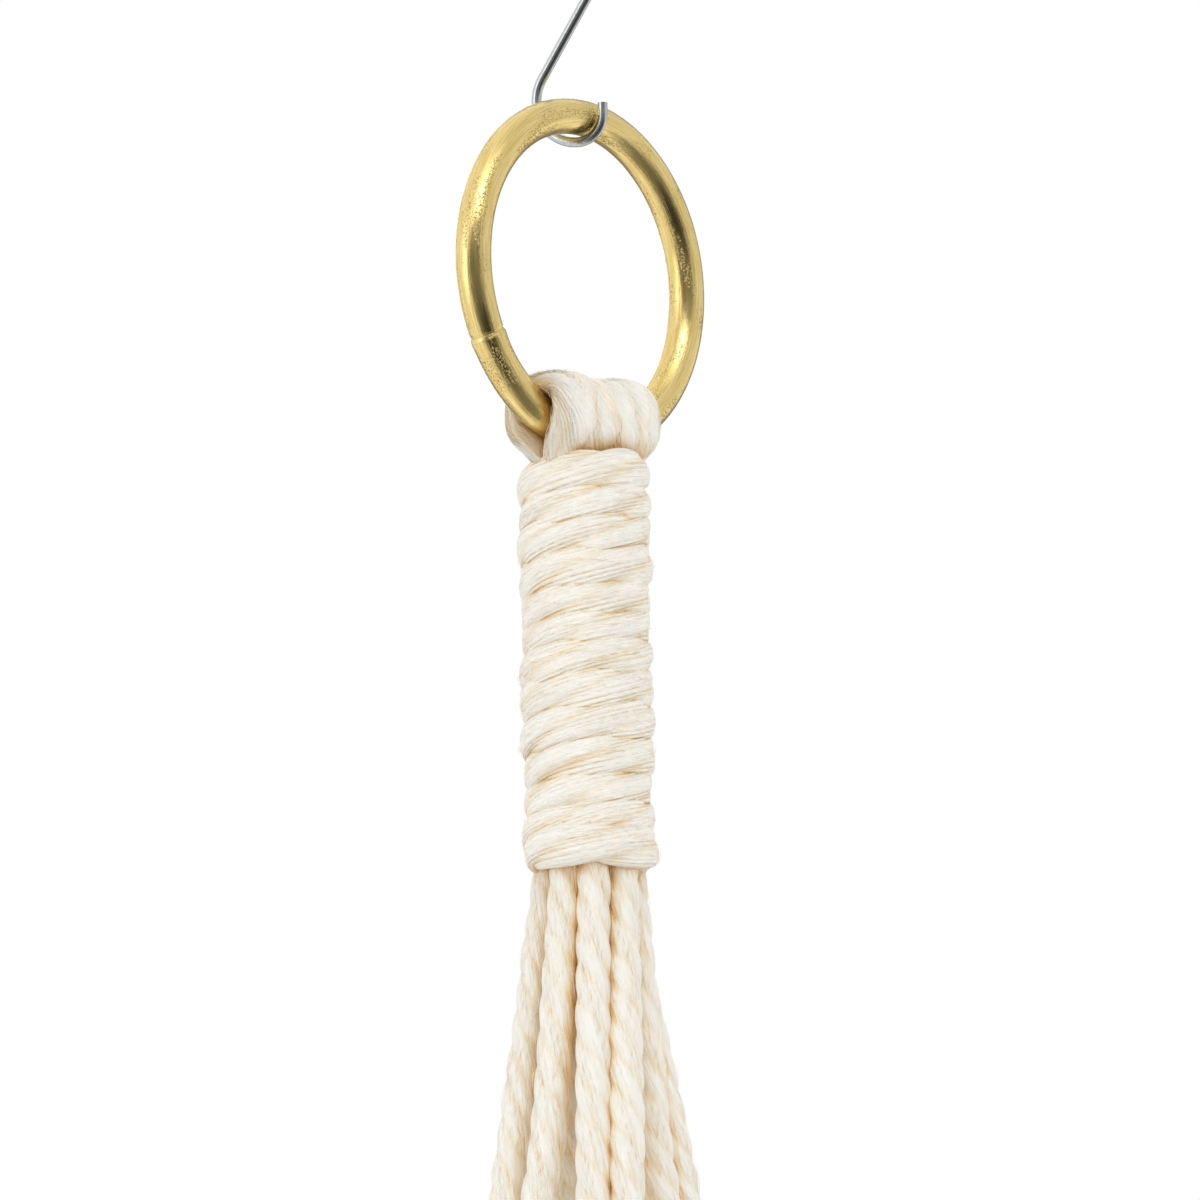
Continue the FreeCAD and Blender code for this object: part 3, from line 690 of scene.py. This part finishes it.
def make_base_cords():
    """The strands that carry the pot, round its foot and in to the bottom wrap."""
    rng = np.random.default_rng(51)
    foot_out, gather = POT_FOOT + 2.6 * MM, gather_high.z
    for number, azimuth in enumerate(SIDE_AZIMUTHS, start=1):
        knot = node_centre(f"side_knot_{number}")
        out = np.hypot(*knot[:2])
        for letter, side in (("a", -PAIR_OFFSET), ("b", PAIR_OFFSET)):
            points = [around(azimuth, out, side * 0.8, knot[2]),
                      around(azimuth, foot_out + 4.6 * MM, side, POT_BASE_Z + 16 * MM),
                      around(azimuth, foot_out + 0.3 * MM, side, POT_BASE_Z - 1.4 * MM),
                      around(azimuth, foot_out - 15 * MM, side, POT_BASE_Z - 15.6 * MM),
                      around(azimuth, 18 * MM, side, gather + 20 * MM),
                      around(azimuth, 6.2 * MM, side, gather + 7 * MM),
                      around(azimuth, 5.4 * MM, side * 0.95, gather - 2 * MM),
                      around(azimuth, 4.4 * MM, side * 0.8, gather - 12 * MM),
                      around(azimuth, 4.9 * MM, side * 0.9, gather_low.z + 1.5 * MM)]
            squeezed = lambda share: np.interp(share, (0, 0.6, 0.72, 1), (1, 1, 0.84, 0.84))
            surface = cord_surface(smooth_route(points), around(azimuth, 0, 1, 0), rng, size=squeezed)
            cord_piece(f"base_cord_{number}{letter}", [surface], [f"base_strand_{number}{letter}"])


# The tassel's free strands, as part.py has them: azimuth of the pair, and the route as
# (distance from the axis, sideways offset, drop below the bottom wrap), in millimetres.
TASSEL_ROUTES = (
    (0, ((6.1, -2.5, 0.2), (7.4, -2.9, 26), (8.2, -4.2, 62), (11.0, -4.6, 98), (11.4, -6.0, 128))),
    (0, ((6.1, 2.5, 0.2), (6.9, 3.1, 30), (9.6, 3.6, 66), (10.1, 5.4, 103), (13.0, 5.6, 134))),
    (90, ((6.1, -2.5, 0.2), (7.0, -3.0, 28), (9.2, -3.2, 64), (9.7, -4.9, 100), (12.2, -5.0, 131))),
    (90, ((6.1, 2.5, 0.2), (7.5, 2.8, 25), (8.0, 4.4, 60), (11.3, 4.7, 94), (11.9, 6.5, 123))),
    (180, ((6.1, -2.5, 0.2), (6.8, -3.2, 27), (9.3, -3.5, 63), (9.9, -5.5, 101), (13.3, -5.9, 135))),
    (180, ((6.1, 2.5, 0.2), (7.3, 2.9, 29), (8.3, 4.0, 65), (10.9, 4.2, 99), (11.2, 5.7, 129))),
    (270, ((6.1, -2.5, 0.2), (7.2, -2.8, 26), (8.1, -4.3, 61), (11.2, -4.6, 97), (11.6, -6.2, 126))),
    (270, ((6.1, 2.5, 0.2), (7.0, 3.2, 28), (9.5, 3.5, 65), (10.0, 5.2, 102), (12.8, 5.4, 132))),
)


def make_tassel():
    """The strands' free ends below the bottom wrap, loosened and ragged where they are cut."""
    rng = np.random.default_rng(61)
    for number, (azimuth, route) in enumerate(TASSEL_ROUTES, start=1):
        path = smooth_route([around(azimuth, out * MM, aside * MM, gather_low.z - drop * MM)
                             for out, aside, drop in route])
        frayed = lambda share: np.clip((share - 0.88) / 0.12, 0, 1) ** 2
        spread = lambda share: np.interp(share, (0, 0.05, 0.9, 1), (0.88, 1.0, 1.0, 1.22))
        surface = cord_surface(path, np.array((1.0, 0, 0)), rng, size=spread, fray=frayed)
        piece = cord_piece(f"tassel_cord_{number}", [surface], [f"tassel_strand_{number}"])


# ---------------------------------------------------------------- pot


def rounded_outline(corners, radii, arc_points=9):
    """An outline through the corners, each rounded by its radius."""
    outline = []
    for index, radius in enumerate(radii):
        corner = np.array(corners[index])
        if radius == 0:
            outline.append(corner)
            continue
        back = unit(np.array(corners[index - 1]) - corner)
        onward = unit(np.array(corners[index + 1]) - corner)
        half = math.acos(np.clip(back @ onward, -1, 1)) / 2
        centre = corner + unit(back + onward) * radius / math.sin(half)
        start = corner + back * radius / math.tan(half) - centre
        end = corner + onward * radius / math.tan(half) - centre
        for share in np.linspace(0, 1, arc_points):
            spot = unit(start * (1 - share) + end * share) * radius
            outline.append(centre + spot)
    return np.array(outline)


def make_pot():
    """A thrown clay pot with a banded rim, slightly out of true, its edges softened by use."""
    height, wall, floor = RIM_Z - POT_BASE_Z, 6 * MM, 8 * MM
    shoulder, band = POT_RIM - 6.5 * MM, 28 * MM
    corners = ((0, 0), (POT_FOOT, 0), (shoulder, height - band), (POT_RIM, height - band), (POT_RIM, height),
               (POT_RIM - wall, height), (POT_FOOT - wall, floor), (0, floor))
    radii = [0] + [size * MM for size in (3, 0.8, 1.8, 2.2, 2.2, 8)] + [0]
    coarse = rounded_outline(corners, radii)
    outline = evenly(np.column_stack([coarse, np.zeros(len(coarse))]), 1.2 * MM)[:, :2]
    columns = 360
    angle = np.linspace(0, 2 * math.pi, columns, endpoint=False)
    rng = np.random.default_rng(71)
    waves = sum(rng.uniform(-1, 1) * np.cos(k * angle + rng.uniform(0, 6)) for k in (2, 3, 5))
    # The wobble only takes clay away, so that the pot turns clear of the cords.
    wobble = (waves - waves.max()) * 0.09 * MM - 0.1 * MM
    lines = np.convolve(rng.uniform(-1, 1, len(outline)), np.ones(3) / 3, "same") * 0.06 * MM
    rows = outline[1:-1]
    share = np.clip(rows[:, 0] / POT_FOOT, 0, 1)[:, None]
    radius = rows[:, :1] + share * (wobble[None, :] + lines[1:-1, None])
    z = POT_BASE_Z + rows[:, 1][:, None] + 0 * radius
    vertices = np.stack([radius * np.cos(angle), radius * np.sin(angle), z], axis=-1).reshape(-1, 3)
    vertices = np.concatenate([vertices, [(0, 0, POT_BASE_Z), (0, 0, POT_BASE_Z + floor)]])
    piece = new_piece("clay_pot", vertices, grid_quads(len(rows), columns), end_fans(len(rows), columns),
                      TERRACOTTA, "pot")
    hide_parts("plant_pot")


# ---------------------------------------------------------------- stage


def make_camera():
    """A long lens, slightly below the ring and turned a little, close to the planter's top."""
    azimuth, elevation, roll = math.radians(-48.85), math.radians(-9.4), math.radians(0.9)
    distance, view_width = 2.7, 167.4 * MM
    back = np.array((math.sin(azimuth) * math.cos(elevation), -math.cos(azimuth) * math.cos(elevation),
                     math.sin(elevation)))
    level_right = np.array((math.cos(azimuth), math.sin(azimuth), 0))
    level_up = np.cross(back, level_right)
    right = level_right * math.cos(roll) - level_up * math.sin(roll)
    up = level_up * math.cos(roll) + level_right * math.sin(roll)
    aim = RING_CENTRE + right * 2.72 * MM - up * 45.2 * MM
    lens = bpy.data.cameras.new("camera")
    lens.sensor_width = 36
    lens.lens = lens.sensor_width * distance / view_width
    lens.clip_end = 100
    camera = bpy.data.objects.new("camera", lens)
    bpy.context.scene.collection.objects.link(camera)
    pose = Matrix((*zip(right, up, back),)).to_4x4()
    pose.translation = Vector(aim + back * distance)
    camera.matrix_world = pose
    bpy.context.scene.camera = camera


def area_light(name, place, target, size, power):
    """A soft rectangular lamp that faces its target."""
    light = bpy.data.lights.new(name, "AREA")
    light.shape = "RECTANGLE"
    light.size, light.size_y = size
    light.energy = power
    lamp = bpy.data.objects.new(name, light)
    bpy.context.scene.collection.objects.link(lamp)
    lamp.location = place
    lamp.rotation_euler = (Vector(target) - Vector(place)).to_track_quat("-Z", "Y").to_euler()


def make_lamps():
    """Three weak soft lamps, which give the cord's relief a little shade."""
    middle = (0, 0, -0.3)
    area_light("key", (-1.25, -1.75, 1.6), middle, (0.9, 0.9), 9)
    area_light("side", (-2.8, 0.9, 0.2), middle, (1.2, 1.8), 7)
    area_light("back", (1.6, 2.2, 0.6), middle, (1.4, 1.2), 8)


# The parts of the room that only the metal mirrors: the direction of each, the cosine of the angle that
# it reaches from there, and how bright it is next to the rest.
MIRRORED_PARTS = (
    ((-0.62, -0.68, -0.15), 0.72, 0.2),
    ((-0.1, -0.72, -0.69), 0.76, 0.22),
    ((0.4, -0.7, 0.6), 0.66, 0.75),
    ((0.72, 0.66, -0.05), 0.74, 0.25),
    ((-0.47, -0.65, 0.58), 0.93, 2.3),
)


def make_world():
    """Even white surroundings, with darker and brighter parts that only the metal's reflections show."""
    world = bpy.data.worlds.new("studio")
    bpy.context.scene.world = world
    world.use_nodes = True
    tree = world.node_tree

    def node(kind, inputs, **settings):
        made = tree.nodes.new(kind)
        for key, setting in settings.items():
            setattr(made, key, setting)
        for key, source in inputs.items():
            if isinstance(source, bpy.types.NodeSocket):
                tree.links.new(source, made.inputs[key])
            else:
                made.inputs[key].default_value = source
        return made

    toward = node("ShaderNodeTexCoord", {}).outputs["Generated"]
    wavy = node("ShaderNodeTexNoise", {"Vector": toward, "Scale": 4.5, "Detail": 2.0}).outputs["Fac"]
    cloudy = node("ShaderNodeTexNoise", {"Vector": toward, "Scale": 9.0}).outputs["Fac"]
    shade = node("ShaderNodeMapRange", {"Value": cloudy, "From Min": 0.35, "From Max": 0.65,
                                        "To Min": 0.82, "To Max": 1.3}).outputs[0]
    for direction, cosine, level in MIRRORED_PARTS:
        facing = node("ShaderNodeVectorMath", {0: toward, 1: unit(np.array(direction)).tolist()},
                      operation="DOT_PRODUCT").outputs["Value"]
        uneven = node("ShaderNodeMath", {0: wavy, 1: 0.3, 2: facing}, operation="MULTIPLY_ADD").outputs[0]
        part = node("ShaderNodeMapRange", {"Value": uneven, "From Min": cosine + 0.07,
                                           "From Max": cosine + 0.23, "To Min": 1.0, "To Max": level},
                    interpolation_type="SMOOTHSTEP").outputs[0]
        shade = node("ShaderNodeMath", {0: part, 1: shade}, operation="MULTIPLY").outputs[0]
    backdrop = tree.nodes["Background"]
    backdrop.inputs["Color"].default_value = (1, 1, 1, 1)
    even = node("ShaderNodeBackground", {"Color": (1.0, 0.985, 0.96, 1), "Strength": 1.03})
    mirrored = node("ShaderNodeBackground", {"Color": (1.0, 0.99, 0.95, 1), "Strength": shade})
    rays = node("ShaderNodeLightPath", {}).outputs
    unseen = node("ShaderNodeMixShader", {0: rays["Is Glossy Ray"], 1: even.outputs[0],
                                          2: mirrored.outputs[0]})
    chosen = node("ShaderNodeMixShader", {0: rays["Is Camera Ray"], 1: unseen.outputs[0],
                                          2: backdrop.outputs[0]})
    tree.links.new(chosen.outputs[0], tree.nodes["World Output"].inputs["Surface"])


def make_floor():
    """A wide pale floor below the tassel, left out of the metal's reflections."""
    z, reach = cad_low.z - 0.2, 60
    mesh = bpy.data.meshes.new("floor")
    corners = [(-reach, -reach, z), (reach, -reach, z), (reach, reach, z), (-reach, reach, z)]
    mesh.from_pydata(corners, [], [(0, 1, 2, 3)])
    mesh.materials.append(floor_material())
    floor = bpy.data.objects.new("floor", mesh)
    bpy.context.scene.collection.objects.link(floor)
    floor.visible_glossy = False


# ---------------------------------------------------------------- the whole planter

make_camera()
make_tassel()
make_ring()
make_loops()
make_wrap("wound_cord_top", wrap_low, wrap_high, 12.95, 81, ["gathering_wrap", "top_bundle"])
make_arms()
for index, azimuth in enumerate(ARM_AZIMUTHS, start=1):
    make_knot(f"tied_rim_knot_{index}", f"rim_knot_{index}", azimuth, 90 + index)
make_net()
for index, azimuth in enumerate(SIDE_AZIMUTHS, start=1):
    make_knot(f"tied_side_knot_{index}", f"side_knot_{index}", azimuth, 95 + index)
make_base_cords()
make_wrap("wound_cord_bottom", gather_low, gather_high, 8.67, 83, ["bottom_wrap", "bottom_bundle"])
make_pot()
finish_hook()
make_world()
make_lamps()
make_floor()
bpy.context.scene.view_settings.view_transform = "Standard"
